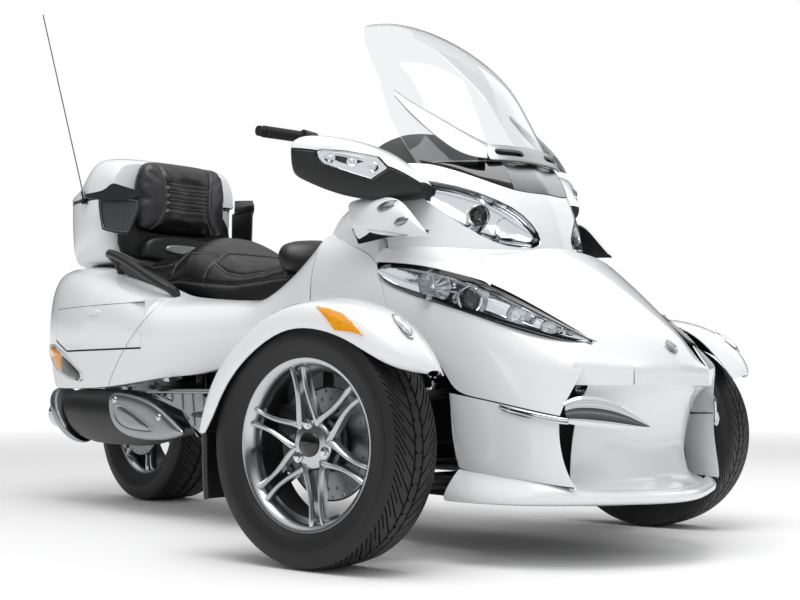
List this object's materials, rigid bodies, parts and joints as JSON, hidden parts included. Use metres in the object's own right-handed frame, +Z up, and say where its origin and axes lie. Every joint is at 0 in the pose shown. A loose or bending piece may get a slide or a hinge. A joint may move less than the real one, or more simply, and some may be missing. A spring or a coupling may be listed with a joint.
{
  "type": "reverse trike",
  "caption": "Touring reverse trike: steered front wheels under fenders, faired nose with trunk, windshield, long seat, side cases, top case and one driven rear wheel.",
  "frame": {"origin": "on the floor under the middle of the bounding box", "axes": "-Y forwards, +X to the rider's left, +Z up"},
  "size_m": [1.573, 2.8211, 1.903],
  "materials": {
    "black_leather": "stitched",
    "black_plastic": "moulded, fine grain",
    "chrome": "polished",
    "clear_glass": "clear, curved",
    "engine_cast": "dark cast",
    "frame_paint": "satin black powder coat",
    "grip_rubber": "ribbed",
    "silver_cast": "cast and lacquered",
    "smoked_steel": "brushed",
    "tyre_rubber": "grooved tread",
    "white_paint": "clear-coated pearl white"
  },
  "bodies": {
    "chassis": {"antenna": "black_plastic", "backrest": "black_leather", "console": "white_paint", "dash": "black_plastic", "deflectors": "white_paint", "engine": "engine_cast", "fins": "chrome", "footrests": "silver_cast", "frame_high": "frame_paint", "frame_low": "frame_paint", "frame_posts": "frame_paint", "frame_ties": "frame_paint", "front_bumper": "white_paint", "front_lip": "white_paint", "front_shocks": "frame_paint", "front_trunk": "black_plastic", "grab_handles": "black_plastic", "heat_shield": "smoked_steel", "low_lamps": "clear_glass", "mirrors": "white_paint", "muffler": "frame_paint", "nose_sides": "white_paint", "plate_holder": "black_plastic", "rear_lamps": "clear_glass", "seat": "black_leather", "side_case_left": "white_paint", "side_case_right": "white_paint", "side_fairings": "white_paint", "side_panels": "white_paint", "speakers": "black_plastic", "suspension_arms": "frame_paint", "swingarm": "frame_paint", "tail_panel": "white_paint", "top_case": "white_paint", "upper_cowl": "white_paint", "upper_lamps": "clear_glass", "windshield": "clear_glass", "windshield_bracket": "silver_cast"},
    "handlebars": {"handlebar": "frame_paint", "grips": "grip_rubber", "switch_boxes": "black_plastic"},
    "tie_link": {"tie_rods": "frame_paint"},
    "knuckle_right": {"knuckle_right": "frame_paint", "front_fender_right": "white_paint", "mudflap_right": "black_plastic"},
    "knuckle_left": {"knuckle_left": "frame_paint", "front_fender_left": "white_paint", "mudflap_left": "black_plastic"},
    "front_wheel_right": {"front_tyre_right": "tyre_rubber", "front_rim_right": "silver_cast"},
    "front_wheel_left": {"front_tyre_left": "tyre_rubber", "front_rim_left": "silver_cast"},
    "rear_wheel": {"rear_tyre": "tyre_rubber", "rear_rim": "silver_cast"},
    "hood": {"hood": "white_paint"},
    "top_case_lid": {"top_case_lid": "white_paint"},
    "side_case_door_right": {"side_case_door_right": "white_paint"},
    "side_case_door_left": {"side_case_door_left": "white_paint"}
  },
  "joints": [
    {"name": "steering", "type": "hinge", "parent": "chassis", "child": "handlebars", "pos_m": [0, -0.21457, 1.085], "axis": [0, 0.4226, 0.9063], "range_deg": [-60.2, 19.8]},
    {"name": "steer_right", "type": "hinge", "parent": "chassis", "child": "knuckle_right", "pos_m": [-0.594, -0.81456, 0.285], "axis": [0, 0, 1], "range_deg": [-29.01, 9.61]},
    {"name": "steer_left", "type": "hinge", "parent": "chassis", "child": "knuckle_left", "pos_m": [0.594, -0.81456, 0.285], "axis": [0, 0, 1], "range_deg": [-29.01, 9.61]},
    {"name": "tie_rod_slide", "type": "slide", "parent": "chassis", "child": "tie_link", "axis": [-1, 0, 0], "range_m": [-0.05023, 0.01686]},
    {"name": "wheel_spin_right", "type": "hinge", "parent": "knuckle_right", "child": "front_wheel_right", "pos_m": [-0.65314, -0.82468, 0.285], "axis": [0.9857, 0.1685, 0], "continuous": true},
    {"name": "wheel_spin_left", "type": "hinge", "parent": "knuckle_left", "child": "front_wheel_left", "pos_m": [0.65314, -0.80446, 0.285], "axis": [0.9857, 0.1685, 0], "continuous": true},
    {"name": "wheel_spin_rear", "type": "hinge", "parent": "chassis", "child": "rear_wheel", "pos_m": [0, 0.95844, 0.303], "axis": [1, 0, 0], "continuous": true},
    {"name": "hood_hinge", "type": "hinge", "parent": "chassis", "child": "hood", "pos_m": [0, -1.00456, 0.782], "axis": [-1, 0, 0], "range_deg": [0, 50]},
    {"name": "lid_hinge", "type": "hinge", "parent": "chassis", "child": "top_case_lid", "pos_m": [0, 0.88743, 1.262], "axis": [1, 0, 0], "range_deg": [0, 60]},
    {"name": "door_hinge_right", "type": "hinge", "parent": "chassis", "child": "side_case_door_right", "pos_m": [-0.419, 0.72544, 0.541], "axis": [0, -1, 0], "range_deg": [0, 35]},
    {"name": "door_hinge_left", "type": "hinge", "parent": "chassis", "child": "side_case_door_left", "pos_m": [0.419, 0.72544, 0.541], "axis": [0, 1, 0], "range_deg": [0, 35]}
  ],
  "couplings": [
    {"joint": "steer_right", "follows": "steering", "ratio": 0.4802},
    {"joint": "steer_left", "follows": "steering", "ratio": 0.4802},
    {"joint": "tie_rod_slide", "follows": "steering", "m_per_rad": 0.047333}
  ]
}
